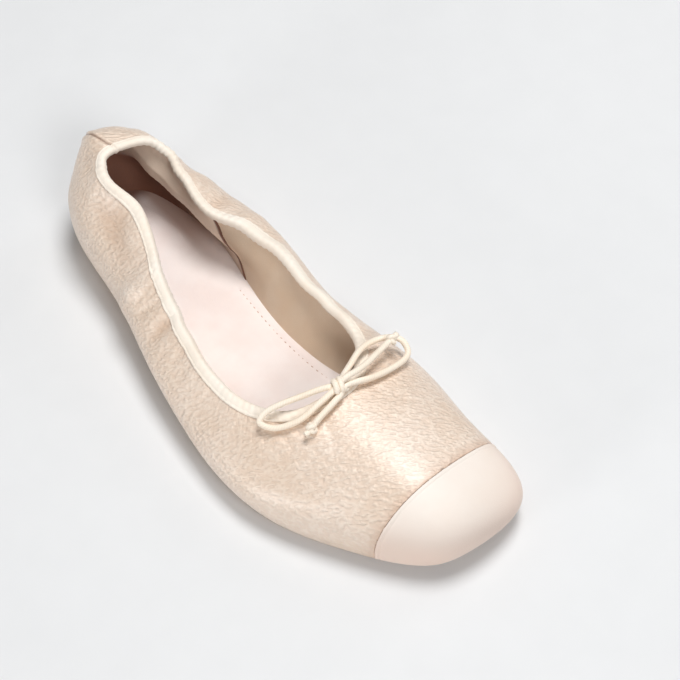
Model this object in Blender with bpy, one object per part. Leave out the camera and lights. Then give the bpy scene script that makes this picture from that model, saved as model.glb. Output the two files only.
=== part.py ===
"""A ballet flat for the right foot: outsole, insole, hollow upper, toe cap, collar binding and cord bow.

+X is the outer (little toe) side, +Y the toe, +Z up. The origin is on the floor under the heel.
The sizes below are millimetres; the objects are made in metres.
"""

import bmesh
import bpy
import numpy as np

MM = 0.001

# Driving sizes
LENGTH = 236.0       # back of the heel to the tip of the toe
BALL_WIDTH = 90.0    # outside of the upper at the ball
BACK_HEIGHT = 53.0   # floor to the collar at the heel

# Leather, clearances and edges
WALL = 1.6           # upper leather with its lining
CAP_THICK = 0.8      # toe cap leather
CAP_SINK = 0.1       # the cap lies this far under the skin of the upper
GAP = 0.3            # left between two pieces that touch
CAP_WALL = 1.2       # upper left under the toe cap
LASTING = 8.0        # upper turned in under the insole
SEAM_Y = 175.5       # toe cap seam
CAP_TURNS = (6.6, 11.6)  # the cap spans the meridians between these rows of the last
CAP_BLEND = 10.0     # the lining moves inwards over this length, short of the seam
OUTSOLE_INSET = 1.5  # outsole's top edge, inside the foot line
OUTSOLE_BEVEL = 1.0
INSOLE_THICK = 1.5
BINDING_DEPTH = 4.0  # binding's reach down each side of the collar
BINDING_THICK = 0.9
BINDING_PUFF = 0.4   # it swells this much more half way down and on top
BINDING_SHOULDER = 0.5   # its section's corners, this far above the collar
CORD = 2.5           # bow cord's diameter
END_KNOT = 4.4       # knot tied in each end of the cord, and its length
KNOT_CENTRE = (0.9, 126.0, 43.6)
KNOT_SIZE = (6.6, 6.2, 5.4)

# How finely the solids are cut
STEPS_PER_ROW = 4    # meridians to each row of the last
WALL_ROWS = 10       # faces from the foot line up to the binding
EDGE_ROWS = 2        # faces behind the binding
SOLE_COLUMNS = 5

# The last, row by row round the shoe from the back of the heel by the outer side to the toe and home by
# the inner side. foot: where the wall meets the sole. flare, rise: how far the wall leaves the foot line
# outwards and upwards. collar: its top edge. crown_x, y, z: the pull of the wall at that edge.
# The table draws a last of TABLE_SIZE, which is stretched to the driving sizes.
TABLE_SIZE = (89.9, 235.3, 53.0)
ROWS = [
    # name            foot_x foot_y flare rise  collar_x  y     z   crown_x  y    z
    ("heel_back",        0,   -30,    6,   21,  -0.8, -15.6,  53.0,    0,  -27, 4.5),
    ("heel_back_out",   16,   -24,  7.4, 19.5,   6.2,   -14,  52.8,    7,  -11, -5.5),
    ("heel_side_out",   24,    -6,    7,   18,    10,    -4,  51.0,   12,   -4,  -6),
    ("heel_front_out",  28,    24,   10,   15,    12,    19,  45.5,   15,    0,  -8),
    ("waist_out",       35,    55,   13,   13,    22,    47,  37.5,   14,    0, -10),
    ("ball_rear_out",   44,    91,   12,   13,    30,    80,  31.5,   14,    3, -10),
    ("ball_out",        47,   128,    8,   17,    28,   104,  31.5,   13,    9,  -6),
    ("toe_side_out",    34,   162,    4,   22,    20,   118,  34.5,   11,   26,  -3),
    ("toe_corner_out",  17, 188.5,  2.5, 26.5,    11,   123,  37.5,    7,   43,  -2),
    ("toe_front",       -3,   198,    7,   30,     1,   125,  38.6,   -1,   53,  -2),
    ("toe_corner_in",  -31,   195,  6.5,   21,    -9,   123,  37.4,   -9,   44,  -2),
    ("toe_side_in",    -35,   168,    5,   21,   -18,   116,  35.0,  -12,   28,  -3),
    ("ball_in",        -37,   137,    6,   18,   -25,   102,  32.8,  -11,   14,  -6),
    ("ball_rear_in",   -30,    98,    6,   13,   -26,    75,  33.0,  -10,    3, -11),
    ("waist_in",       -26,    60,   10,   14,   -25,    48,  36.5,  -17,    0,  -8),
    ("heel_front_in",  -26,    25,   13,   16,   -16,    23,  40.5,  -21,    0,  -5),
    ("heel_side_in",   -23,    -6,  7.6, 17.7, -19.6,  -0.8,  46.4, -7.5,   -5, -6.8),
    ("heel_back_in",   -16,   -24,  7.7, 20.7, -14.4, -11.4,  51.6, -5.5,  -17,   0),
]

# The sole from the side: its underside and the level its top reaches, heel to toe.
SOLE = [
    # name            y    under   top
    ("heel_end",    -34,    0.0,   6.4),
    ("heel_middle",   0,    0.0,   6.2),
    ("heel_breast",  24,    0.0,   6.3),
    ("waist_rear",   31,    3.0,   6.5),
    ("waist",        54,    3.8,   6.8),
    ("waist_front",  78,    2.0,   5.2),
    ("ball_rear",   102,    0.0,   3.5),
    ("ball_front",  142,    0.0,   3.2),
    ("toe_root",    170,    1.3,   4.3),
    ("toe_tip",     206,    5.2,   8.4),
]

# The bow's cord, from the knot outwards and back, and the two ends.
BOW = {
    "bow_loop_out": [
        (4.1, 123.8, 43.1), (8.0, 121.6, 42.3), (13.6, 119.1, 41.0), (21.4, 115.6, 39.2),
        (27.2, 113.4, 36.8), (31.0, 114.3, 34.6), (28.4, 119.4, 34.0), (22.8, 123.6, 36.2),
        (17.4, 125.6, 38.7), (10.8, 125.9, 41.0), (4.8, 126.2, 42.8),
    ],
    "bow_loop_in": [
        (-2.3, 124.1, 43.2), (-8.6, 121.6, 42.6), (-16.2, 118.4, 41.0), (-22.8, 117.4, 39.0),
        (-29.7, 118.7, 37.0), (-34.3, 122.4, 35.4), (-33.6, 127.6, 34.6), (-29.9, 130.1, 34.8),
        (-22.2, 130.9, 37.0), (-13.1, 130.4, 39.8), (-2.7, 127.6, 42.4),
    ],
    "bow_end_out": [
        (3.3, 129.1, 42.3), (7.0, 129.6, 41.6), (10.5, 129.9, 40.7), (14.0, 130.1, 39.7),
        (17.0, 130.5, 38.8),
    ],
    "bow_end_in": [
        (-2.9, 125.9, 45.3), (-8.6, 126.1, 44.5), (-14.0, 125.4, 43.0), (-21.0, 123.9, 41.3),
        (-27.6, 122.6, 40.1),
    ],
}

CHAMPAGNE = (0.80, 0.64, 0.54)
NUDE = (0.86, 0.74, 0.65)
CREAM = (0.90, 0.83, 0.74)
BLUSH = (0.84, 0.74, 0.70)
TAN = (0.55, 0.40, 0.29)


# ---------------------------------------------------------------- the last

STRETCH = np.array([BALL_WIDTH, LENGTH, BACK_HEIGHT]) / np.array(TABLE_SIZE)
TABLE = np.array([row[1:] for row in ROWS], float)
COUNT = len(ROWS)
TURN = np.arange(COUNT * STEPS_PER_ROW) / STEPS_PER_ROW   # every meridian, counted in rows
CAP_STEP = CAP_SINK + CAP_THICK + GAP                     # depth of the recess that the cap sits in


def spline_bends(values):
    """Second derivatives of the smooth closed curve through the values."""
    ring = np.eye(COUNT)
    pull = 4 * ring + np.roll(ring, 1, 1) + np.roll(ring, -1, 1)
    return np.linalg.solve(pull, 6 * (np.roll(values, -1, 0) - 2 * values + np.roll(values, 1, 0)))


BENDS = spline_bends(TABLE)


def columns(turn):
    """All the columns of the table at any place round the shoe."""
    turn = np.asarray(turn, float) % COUNT
    here = np.floor(turn).astype(int) % COUNT
    there = (here + 1) % COUNT
    part = (turn - np.floor(turn))[..., None]
    bend = (BENDS[here] * (1 - part) ** 3 + BENDS[there] * part ** 3) / 6
    start = (TABLE[here] - BENDS[here] / 6) * (1 - part)
    return bend + start + (TABLE[there] - BENDS[there] / 6) * part


def sole_level(y, column):
    """A column of the sole's table at y: 1 is the underside, 2 the top. It keeps level stretches level."""
    at = np.array([row[1] for row in SOLE], float) * STRETCH[1]
    level = np.array([row[column + 1] for row in SOLE], float)
    slope = np.diff(level) / np.diff(at)
    both = slope[:-1] * slope[1:]
    inner = np.where(both > 0, 2 * both / (slope[:-1] + slope[1:] + 1e-12), 0.0)
    tangent = np.concatenate([[0.0], inner, slope[-1:]])
    y = np.clip(y, at[0], at[-1])
    cell = np.clip(np.searchsorted(at, y, side="right") - 1, 0, len(at) - 2)
    width = at[cell + 1] - at[cell]
    part = (y - at[cell]) / width
    rise = part * part * (3 - 2 * part)
    swing = part * (1 - part) ** 2 * tangent[cell] - part ** 2 * (1 - part) * tangent[cell + 1]
    return level[cell] * (1 - rise) + level[cell + 1] * rise + swing * width


def outward(turn):
    """The level direction out of the shoe, square to the foot line."""
    ahead = columns(np.asarray(turn) + 0.01)[..., :2] * STRETCH[:2]
    behind = columns(np.asarray(turn) - 0.01)[..., :2] * STRETCH[:2]
    along = (ahead - behind) / np.linalg.norm(ahead - behind, axis=-1, keepdims=True)
    return np.stack([along[..., 1], -along[..., 0], np.zeros(along.shape[:-1])], -1)


def foot_line(turn, inset=0.0):
    """Where the wall meets the sole, or a line that far inside it, at the level of the sole's top."""
    place = columns(turn)[..., :2] * STRETCH[:2] - outward(turn)[..., :2] * np.asarray(inset)[..., None]
    return np.concatenate([place, sole_level(place[..., 1], 2)[..., None]], -1)


def wall(turn, up):
    """The outer skin: up is 0 at the foot line and 1 at the collar."""
    turn, up = np.broadcast_arrays(np.asarray(turn, float), np.asarray(up, float))
    column = columns(turn)
    foot = foot_line(turn)
    lower = foot + outward(turn) * column[..., 2:3] + np.array([0, 0, 1]) * column[..., 3:4]
    collar = column[..., 4:7] * STRETCH
    upper = collar + column[..., 7:10]
    up = up[..., None]
    return (foot * (1 - up) ** 3 + 3 * lower * (1 - up) ** 2 * up
            + 3 * upper * (1 - up) * up ** 2 + collar * up ** 3)


def skin_frame(turn, up):
    """The wall's outward normal and its upward tangent."""
    small = 0.005
    round_it = wall(np.asarray(turn) + small, up) - wall(np.asarray(turn) - small, up)
    climb = wall(turn, np.asarray(up) + small) - wall(turn, np.asarray(up) - small)
    normal = np.cross(round_it, climb)
    unit = np.linalg.norm(normal, axis=-1, keepdims=True), np.linalg.norm(climb, axis=-1, keepdims=True)
    return normal / unit[0], climb / unit[1]


def skin(turn, up, depth=0.0):
    """A surface that lies inside the outer skin by depth, or outside it where depth is negative."""
    return wall(turn, up) - skin_frame(turn, up)[0] * np.asarray(depth)[..., None]


def below_collar(turn, distance):
    """The value of up that lies this far below the collar."""
    reach = np.linalg.norm(columns(turn)[..., 7:10], axis=-1)
    return 1 - distance / (3 * reach)


def lining_depth(place):
    """The wall is deeper inside the toe cap, so that the recess leaves leather under the cap."""
    extra = CAP_STEP + CAP_WALL - WALL
    start = SEAM_Y - CAP_BLEND - 4 * GAP
    blend = np.clip((place[..., 1] - start) / CAP_BLEND, 0, 1)
    return WALL + extra * blend * blend * (3 - 2 * blend)


# ---------------------------------------------------------------- mesh tools


def material(name, colour, roughness, metallic=0.0):
    made = bpy.data.materials.new(name)
    made.use_nodes = True
    shader = made.node_tree.nodes["Principled BSDF"]
    shader.inputs["Base Color"].default_value = (*colour, 1)
    shader.inputs["Roughness"].default_value = roughness
    shader.inputs["Metallic"].default_value = metallic
    return made


def collection(name):
    made = bpy.data.collections.new(name)
    bpy.context.scene.collection.children.link(made)
    return made


def finish(mesh, name, into, surface=None):
    """Weld, face outwards, shade smooth and place in a collection."""
    bmesh.ops.remove_doubles(mesh, verts=mesh.verts, dist=0.000005)
    bmesh.ops.recalc_face_normals(mesh, faces=mesh.faces)
    data = bpy.data.meshes.new(name)
    mesh.to_mesh(data)
    mesh.free()
    data.shade_smooth()
    made = bpy.data.objects.new(name, data)
    into.objects.link(made)
    if surface:
        data.materials.append(surface)
    return made


def loft(sections, closed=True):
    """Join sections, each a ring of as many points, into a tube. Closed joins the last to the first."""
    mesh = bmesh.new()
    rings = [[mesh.verts.new(point) for point in section * MM] for section in sections]
    pairs = list(zip(rings, rings[1:] + rings[:1])) if closed else list(zip(rings, rings[1:]))
    for one, two in pairs:
        for k in range(len(one)):
            mesh.faces.new((one[k], one[k - 1], two[k - 1], two[k]))
    return mesh


def sole_slab(edge_lines, top_level, under_level):
    """A slab across the shoe. edge_lines run round it, the top edge first and the bottom edge last."""
    half = len(TURN) // 2
    across = np.linspace(0, 1, SOLE_COLUMNS + 1)[1:-1, None]
    sections = []
    for k in range(half + 1):
        outer = np.array([line[k] for line in edge_lines])
        inner = np.array([line[-k] for line in edge_lines])
        top = outer[0] * (1 - across) + inner[0] * across
        under = inner[-1] * (1 - across) + outer[-1] * across
        top[:, 2] = top_level(top[:, 1])
        under[:, 2] = under_level(under[:, 1])
        sections.append(np.concatenate([top, inner, under, outer[::-1]]))
    return loft(sections, closed=False)


def cap_patch(low, high, seam, below_foot=0.0):
    """A sheet round the toe between two depths of the skin, cut off square behind the seam."""
    turns = TURN[(TURN > CAP_TURNS[0]) & (TURN < CAP_TURNS[1])]
    ups = wall_steps(turns)[:WALL_ROWS]
    if below_foot:
        ups = np.concatenate([np.full_like(ups[:1], -below_foot), ups])
    outer = skin(turns, ups, low).swapaxes(0, 1)
    inner = skin(turns, ups, high).swapaxes(0, 1)
    mesh = loft([np.concatenate([a, b[::-1]]) for a, b in zip(outer, inner)], closed=False)
    bmesh.ops.holes_fill(mesh, edges=mesh.edges, sides=0)
    everything = mesh.verts[:] + mesh.edges[:] + mesh.faces[:]
    cut = bmesh.ops.bisect_plane(mesh, geom=everything, plane_co=(0, seam * MM, 0), plane_no=(0, 1, 0),
                                 clear_inner=True)
    rim = [piece for piece in cut["geom_cut"] if isinstance(piece, bmesh.types.BMEdge)]
    bmesh.ops.triangle_fill(mesh, edges=rim, use_beauty=True)
    return mesh


def through(points):
    """A smooth curve through the points, with a new point about every two diameters of cord."""
    points = np.array(points, float)
    padded = np.concatenate([2 * points[:1] - points[1:2], points, 2 * points[-1:] - points[-2:-1]])
    path = []
    for k in range(1, len(padded) - 2):
        before, start, end, after = padded[k - 1:k + 3]
        steps = max(1, round(float(np.linalg.norm(end - start)) / (2 * CORD)))
        for part in np.arange(steps) / steps:
            path.append(0.5 * (2 * start + (end - before) * part
                               + (2 * before - 5 * start + 4 * end - after) * part ** 2
                               + (3 * start - before - 3 * end + after) * part ** 3))
    return np.array(path + [points[-1]])


# ---------------------------------------------------------------- the pieces


def wall_steps(turns):
    """Rows of up for each meridian: even to the binding's edge, then to the collar."""
    leg = below_collar(turns, BINDING_DEPTH)
    body = [leg * k / WALL_ROWS for k in range(WALL_ROWS + 1)]
    edge = [leg + (1 - leg) * k / EDGE_ROWS for k in range(1, EDGE_ROWS + 1)]
    return np.array(body + edge)


def make_upper(into, cutters):
    """The hollow upper: out up the skin, over the collar, down the lining and in under the insole."""
    ups = wall_steps(TURN)
    outer = wall(TURN, ups)
    inner = skin(TURN, ups, lining_depth(outer))
    floor = foot_line(TURN)
    deep = lining_depth(floor)
    column = columns(TURN)
    flare, rise = column[:, 2], column[:, 3]
    corner_inset = deep * (np.hypot(flare, rise) - flare) / rise
    corner = foot_line(TURN, corner_inset) + np.array([0, 0, WALL])
    margin = foot_line(TURN, LASTING)
    edge = np.stack([corner, margin + (0, 0, WALL), margin])
    sections = np.concatenate([outer, inner[:0:-1], edge]).swapaxes(0, 1)
    upper = finish(loft(sections), "upper", into, material("champagne_leather", CHAMPAGNE, 0.42, 0.35))
    recess = finish(cap_patch(-CAP_STEP, CAP_STEP, SEAM_Y, below_foot=0.08), "toe_cap_recess", cutters)
    recess.hide_render = True
    recess.display_type = "WIRE"
    cut = upper.modifiers.new("toe cap recess", "BOOLEAN")
    cut.operation = "DIFFERENCE"
    cut.solver = "EXACT"
    cut.object = recess


def make_toe_cap(into):
    patch = cap_patch(CAP_SINK, CAP_SINK + CAP_THICK, SEAM_Y + GAP)
    finish(patch, "toe_cap", into, material("nude_leather", NUDE, 0.4))


def make_outsole(into):
    """A thin sole with its low heel in one piece. The heel and the ball stand on the floor."""
    top = foot_line(TURN, OUTSOLE_INSET) - np.array([0, 0, GAP])
    under = foot_line(TURN, OUTSOLE_INSET + OUTSOLE_BEVEL)
    under[:, 2] = sole_level(under[:, 1], 1)
    middle = foot_line(TURN, OUTSOLE_INSET)
    middle[:, 2] = (top[:, 2] + sole_level(middle[:, 1], 1)) / 2
    slab = sole_slab([top, middle, under], lambda y: sole_level(y, 2) - GAP, lambda y: sole_level(y, 1))
    finish(slab, "outsole", into, material("tan_outsole", TAN, 0.6))


def lining_line(height):
    """Just inside the lining, this far above the sole's top."""
    ups = np.linspace(0, 0.5, 41)[:, None]
    outer = wall(TURN, ups)
    inside = skin(TURN, ups, lining_depth(outer) + GAP)
    floor = sole_level(inside[..., 1], 2)
    line = [[np.interp(height, inside[:, k, 2] - floor[:, k], inside[:, k, axis]) for axis in (0, 1)]
            for k in range(len(TURN))]
    line = np.array(line)
    return np.concatenate([line, sole_level(line[:, 1], 2)[:, None] + height], -1)


def make_insole(into):
    """It lies on the turned-in edge of the upper and fills the space inside that edge."""
    seat = WALL + GAP
    step = foot_line(TURN, LASTING + GAP)
    lines = [lining_line(seat + INSOLE_THICK), lining_line(seat), step + np.array([0, 0, seat]), step]
    slab = sole_slab(lines, lambda y: sole_level(y, 2) + seat + INSOLE_THICK,
                     lambda y: sole_level(y, 2))
    finish(slab, "insole", into, material("blush_insole", BLUSH, 0.7))


def make_binding(into):
    """A soft roll of tape over the collar: one section, swept round it."""
    leg = below_collar(TURN, BINDING_DEPTH)
    half_way = (leg + 1) / 2
    thick, puff, back = BINDING_THICK, BINDING_THICK + BINDING_PUFF, WALL
    # up, depth below the outer skin, height above the collar
    profile = [
        (leg, -GAP, 0), (leg, -GAP - thick, 0), (half_way, -GAP - puff, 0),
        (1, -GAP - thick, BINDING_SHOULDER), (1, back / 2, GAP + puff),
        (1, back + GAP + thick, BINDING_SHOULDER), (half_way, back + GAP + puff, 0),
        (leg, back + GAP + thick, 0), (leg, back + GAP, 0),
        (half_way, back + GAP, 0), (1, back + GAP, GAP), (1, -GAP, GAP), (half_way, -GAP, 0),
    ]
    lines = []
    for up, depth, above in profile:
        up = np.broadcast_to(up, TURN.shape)
        lines.append(skin(TURN, up, np.float64(depth)) + skin_frame(TURN, up)[1] * above)
    sections = np.array(lines).swapaxes(0, 1)
    finish(loft(sections), "collar_binding", into, material("cream_binding", CREAM, 0.6))


def make_cord(name, points, surface, into, end_knot=False):
    path = through(points)
    swell = np.ones(len(path))
    if end_knot:
        ahead = (path[-1] - path[-2]) / np.linalg.norm(path[-1] - path[-2])
        path = np.concatenate([path, path[-1] + ahead * END_KNOT * np.array([[0.3], [0.8], [1.1]])])
        swell = np.concatenate([swell, np.array([END_KNOT, END_KNOT, CORD]) / CORD])
    data = bpy.data.curves.new(name, "CURVE")
    data.dimensions = "3D"
    data.bevel_depth = CORD / 2 * MM
    data.bevel_resolution = 2
    data.use_fill_caps = True
    data.materials.append(surface)
    line = data.splines.new("POLY")
    line.points.add(len(path) - 1)
    for point, place, radius in zip(line.points, path * MM, swell):
        point.co = (*place, 1)
        point.radius = radius
    into.objects.link(bpy.data.objects.new(name, data))


def make_bow(into):
    cord = material("cream_cord", CREAM, 0.65)
    knot = bmesh.new()
    bmesh.ops.create_uvsphere(knot, u_segments=16, v_segments=10, radius=0.5 * MM)
    bmesh.ops.scale(knot, vec=KNOT_SIZE, verts=knot.verts)
    bmesh.ops.translate(knot, vec=[c * MM for c in KNOT_CENTRE], verts=knot.verts)
    finish(knot, "bow_knot", into, cord)
    for name, points in BOW.items():
        make_cord(name, points, cord, into, end_knot="end" in name)


def main():
    for thing in list(bpy.data.objects):
        bpy.data.objects.remove(thing, do_unlink=True)
    shoe = collection("ballet_flat")
    cutters = collection("cutters")
    make_outsole(shoe)
    make_insole(shoe)
    make_upper(shoe, cutters)
    make_toe_cap(shoe)
    make_binding(shoe)
    make_bow(shoe)


main()
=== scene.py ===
# %% [markdown]
# # A ballet flat for the right foot
# The real shoe is a soft slipper of pebbled, pearly leather. It has a smooth leather toe cap, a collar that
# elastic gathers inside a cream tape, two linings, a blush sock and a thin sole. A cord is tied in a bow.
# Every piece below is drawn round the same last, which is the foot-shaped block that a shoemaker pulls the
# leather over. So first comes the last, then the cord and the pieces from the outside inwards, then their
# finishes, and at the end the floor and the lights.

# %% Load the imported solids
import math

import bmesh
import bpy
import numpy as np
from mathutils import Matrix, Vector


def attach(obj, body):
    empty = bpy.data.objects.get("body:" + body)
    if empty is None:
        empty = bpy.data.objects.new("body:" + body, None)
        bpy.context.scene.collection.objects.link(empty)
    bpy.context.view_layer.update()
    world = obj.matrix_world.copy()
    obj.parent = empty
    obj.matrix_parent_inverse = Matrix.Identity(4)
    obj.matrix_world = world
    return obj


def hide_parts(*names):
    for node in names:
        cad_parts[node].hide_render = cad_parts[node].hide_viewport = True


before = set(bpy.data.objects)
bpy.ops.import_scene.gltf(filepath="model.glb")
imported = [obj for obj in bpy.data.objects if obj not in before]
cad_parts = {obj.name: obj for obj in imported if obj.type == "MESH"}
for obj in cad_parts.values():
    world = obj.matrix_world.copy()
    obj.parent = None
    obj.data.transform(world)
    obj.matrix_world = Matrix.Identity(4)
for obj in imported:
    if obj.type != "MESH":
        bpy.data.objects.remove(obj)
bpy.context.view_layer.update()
MM = 0.001
print("solids:", ", ".join(sorted(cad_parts)))


# %% Lengths and directions
def size_of(way):
    """The length of each arrow."""
    return np.linalg.norm(way, axis=-1)


def unit(way):
    """The same directions, each 1 long."""
    return way / size_of(way)[..., None]


# %% [markdown]
# ## The camera
# A camera can be aimed by a constraint, by typed angles, or by building its three axes. The axes are built
# here: back points from the shoe to the lens, right lies level, and up is square to both. A small roll
# turns right and up about back. The lens is long, as for a still life, so the shoe isn't stretched.

# %% Camera
AIM = Vector((-24.97, 97.18, 15.0)) * MM
DISTANCE, LENS, SENSOR = 0.71259, 92.753, 36
azimuth, elevation, roll = (math.radians(angle) for angle in (138.857, 57.363, -0.456))
back = Vector((math.sin(azimuth) * math.cos(elevation), -math.cos(azimuth) * math.cos(elevation),
               math.sin(elevation)))
right = (-back).cross(Vector((0, 0, 1))).normalized()
up = back.cross(right)
axes = Matrix((right, up, back)).transposed() @ Matrix.Rotation(roll, 3, "Z")
camera = bpy.data.objects.new("camera", bpy.data.cameras.new("camera"))
camera.data.sensor_width, camera.data.lens = SENSOR, LENS
camera.matrix_world = Matrix.Translation(AIM + back * DISTANCE) @ axes.to_4x4()
bpy.context.scene.collection.objects.link(camera)
bpy.context.scene.camera = camera
print("camera at", [round(c, 3) for c in camera.location])

# %% [markdown]
# ## The last
# The shoe has no straight edge, so it could be sculpted, or cut from a subdivided cage. A table is clearer
# to read and exact: eighteen rows stand round the shoe, from the back of the heel by the outer side to the
# toe and home by the inner side. Each row gives the foot line, how the wall leaves it, where the collar
# ends and how the wall arrives there. A closed cubic curve joins the rows, so turn = 3.5 is half way from
# row 3 to row 4, and up runs from 0 at the foot line to 1 at the collar. All sizes are millimetres.

# %% Rows of the last
ROWS = np.array([
    # foot x, y, flare, rise, collar x, y, z, crown x, y, z
    (0, -30, 6, 21, -0.8, -15.6, 53.0, 0, -27, 4.5),        # 0 heel back
    (16, -24, 7.4, 19.5, 6.2, -14, 52.8, 7, -11, -5.5),
    (24, -6, 7, 18, 10, -4, 51.0, 12, -4, -6),              # 2 heel side, outer
    (28, 24, 10, 15, 12, 19, 45.5, 15, 0, -8),
    (35, 55, 13, 13, 22, 47, 37.5, 14, 0, -10),             # 4 waist, outer
    (44, 91, 12, 13, 30, 80, 31.5, 14, 3, -10),
    (47, 128, 8, 17, 28, 104, 31.5, 13, 9, -6),             # 6 ball, outer
    (34, 162, 4, 22, 20, 118, 34.5, 11, 26, -3),
    (17, 188.5, 2.5, 26.5, 11, 123, 37.5, 7, 43, -2),
    (-3, 198, 7, 30, 1, 125, 38.6, -1, 53, -2),             # 9 toe front
    (-31, 195, 6.5, 21, -9, 123, 37.4, -9, 44, -2),
    (-35, 168, 5, 21, -18, 116, 35.0, -12, 28, -3),
    (-37, 137, 6, 18, -25, 102, 32.8, -11, 14, -6),         # 12 ball, inner
    (-30, 98, 6, 13, -26, 75, 33.0, -10, 3, -11),
    (-26, 60, 10, 14, -25, 48, 36.5, -17, 0, -8),           # 14 waist, inner
    (-26, 25, 13, 16, -16, 23, 40.5, -21, 0, -5),
    (-23, -6, 7.6, 17.7, -19.6, -0.8, 46.4, -7.5, -5, -6.8),        # 16 heel side, inner
    (-16, -24, 7.7, 20.7, -14.4, -11.4, 51.6, -5.5, -17, 0),
])
STRETCH = np.array([90.0, 236.0, 53.0]) / np.array([89.9, 235.3, 53.0])     # real size over drawn size
COUNT = len(ROWS)
# stations along the sole, with the height of its underside and of its top at each
SOLE_Y = np.array([-34, 0, 24, 31, 54, 78, 102, 142, 170, 206]) * STRETCH[1]
SOLE_UNDER = np.array([0, 0, 0, 3.0, 3.8, 2.0, 0, 0, 1.3, 5.2])
SOLE_TOP = np.array([6.4, 6.2, 6.3, 6.5, 6.8, 5.2, 3.5, 3.2, 4.3, 8.4])
UP = np.array([0, 0, 1.0])
print("rows of the last:", COUNT)


# %% Curves through the rows
def ring_curve(rows):
    """A smooth closed curve through one value, or one line of values, for each row of the last."""
    rows = np.asarray(rows, float).reshape(COUNT, -1)
    ring = np.eye(COUNT)
    pull = 4 * ring + np.roll(ring, 1, 1) + np.roll(ring, -1, 1)
    bends = np.linalg.solve(pull, 6 * (np.roll(rows, -1, 0) - 2 * rows + np.roll(rows, 1, 0))) / 6

    def at(turn):
        turn = np.asarray(turn, float) % COUNT
        here = np.floor(turn).astype(int) % COUNT
        there = (here + 1) % COUNT
        part = (turn - np.floor(turn))[..., None]
        bend = bends[here] * (1 - part) ** 3 + bends[there] * part ** 3
        line = bend + (rows[here] - bends[here]) * (1 - part) + (rows[there] - bends[there]) * part
        return line if line.shape[-1] > 1 else line[..., 0]
    return at


last = ring_curve(ROWS)


# %% The foot line
def sole_level(y, level):
    """The height of a line of the sole at y, eased between its stations so that flat parts stay flat."""
    slope = np.diff(level) / np.diff(SOLE_Y)
    both = slope[:-1] * slope[1:]
    inner = np.where(both > 0, 2 * both / (slope[:-1] + slope[1:] + 1e-12), 0.0)
    tangent = np.concatenate([[0.0], inner, slope[-1:]])
    y = np.clip(y, SOLE_Y[0], SOLE_Y[-1])
    cell = np.clip(np.searchsorted(SOLE_Y, y, side="right") - 1, 0, len(SOLE_Y) - 2)
    width = SOLE_Y[cell + 1] - SOLE_Y[cell]
    part = (y - SOLE_Y[cell]) / width
    rise = part * part * (3 - 2 * part)
    swing = part * (1 - part) ** 2 * tangent[cell] - part ** 2 * (1 - part) * tangent[cell + 1]
    return level[cell] * (1 - rise) + level[cell + 1] * rise + swing * width


def outward(turn):
    """The level direction out of the shoe, square to the foot line."""
    step = unit((last(turn + 0.01) - last(turn - 0.01))[..., :2] * STRETCH[:2])
    return np.stack([step[..., 1], -step[..., 0], 0 * step[..., 0]], -1)


def foot_line(turn, inset=0.0, lift=0.0):
    """The line where the wall meets the sole, moved inwards by inset and up by lift."""
    turn, inset, lift = np.broadcast_arrays(turn, inset, lift)
    place = last(turn)[..., :2] * STRETCH[:2] - outward(turn)[..., :2] * inset[..., None]
    return np.concatenate([place, (sole_level(place[..., 1], SOLE_TOP) + lift)[..., None]], -1)


foot = foot_line(np.arange(0, COUNT, 0.1))
print(f"foot line: {np.ptp(foot[:, 1]):.0f} mm long, {np.ptp(foot[:, 0]):.0f} mm across")


# %% The wall above it
def bare_wall(turn, up):
    """The last's own surface, before any crease."""
    turn, up = np.broadcast_arrays(turn, up)
    row = last(turn)
    flare, rise, collar, crown = row[..., 2:3], row[..., 3:4], row[..., 4:7] * STRETCH, row[..., 7:10]
    foot = foot_line(turn)
    lower, upper = foot + outward(turn) * flare + UP * rise, collar + crown
    up = up[..., None]
    return (foot * (1 - up) ** 3 + 3 * lower * (1 - up) ** 2 * up
            + 3 * upper * (1 - up) * up ** 2 + collar * up ** 3)


def wall_frame(turn, up):
    """The outward normal of the last and its direction up the wall."""
    small = 0.005
    round_it = bare_wall(turn + small, up) - bare_wall(turn - small, up)
    climb = bare_wall(turn, up + small) - bare_wall(turn, up - small)
    return unit(np.cross(round_it, climb)), unit(climb)


def crown_reach(turn):
    """How many millimetres one unit of up would cover at the pace it has just below the collar."""
    return 3 * size_of(last(turn)[..., 7:10])


def below_collar(turn, distance):
    """The value of up that lies this far below the collar."""
    return 1 - distance / crown_reach(turn)


# %% Round the collar
GIRTH_STEP = 0.05
girth = size_of(np.diff(bare_wall(np.arange(0, COUNT + 0.01, GIRTH_STEP), 1.0), axis=0))
collar_run = np.concatenate([[0], np.cumsum(girth)])
print(f"collar is {girth.sum():.0f} mm round")


def run_at(turn):
    """The length of collar from the back of the heel round to this turn."""
    return np.interp(turn, np.arange(len(collar_run)) * GIRTH_STEP, collar_run)
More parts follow.
